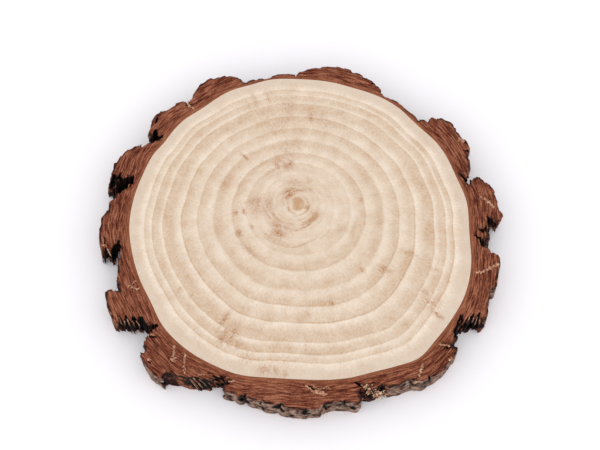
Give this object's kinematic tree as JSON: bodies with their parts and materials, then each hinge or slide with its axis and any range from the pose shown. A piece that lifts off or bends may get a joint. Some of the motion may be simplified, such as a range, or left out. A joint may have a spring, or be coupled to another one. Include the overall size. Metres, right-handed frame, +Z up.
{
  "type": "wood slice",
  "caption": "Round slice of a conifer trunk with its bark on, sawn flat on both faces, for use as a rustic base, board or centrepiece.",
  "frame": {"origin": "centre of the slice's bounding box, on the sawn underside", "axes": "+Z up through the thickness, square to the saw cuts; +Y away from the viewer of the picture; +X to that viewer's right"},
  "size_m": [0.2439, 0.2368, 0.015],
  "materials": {
    "wood": "fine-sawn pale softwood, dry and matt",
    "bark": "rough layered red-brown bark, dull"
  },
  "bodies": {
    "root": {"wood": "wood", "bark": "bark"}
  },
  "joints": []
}
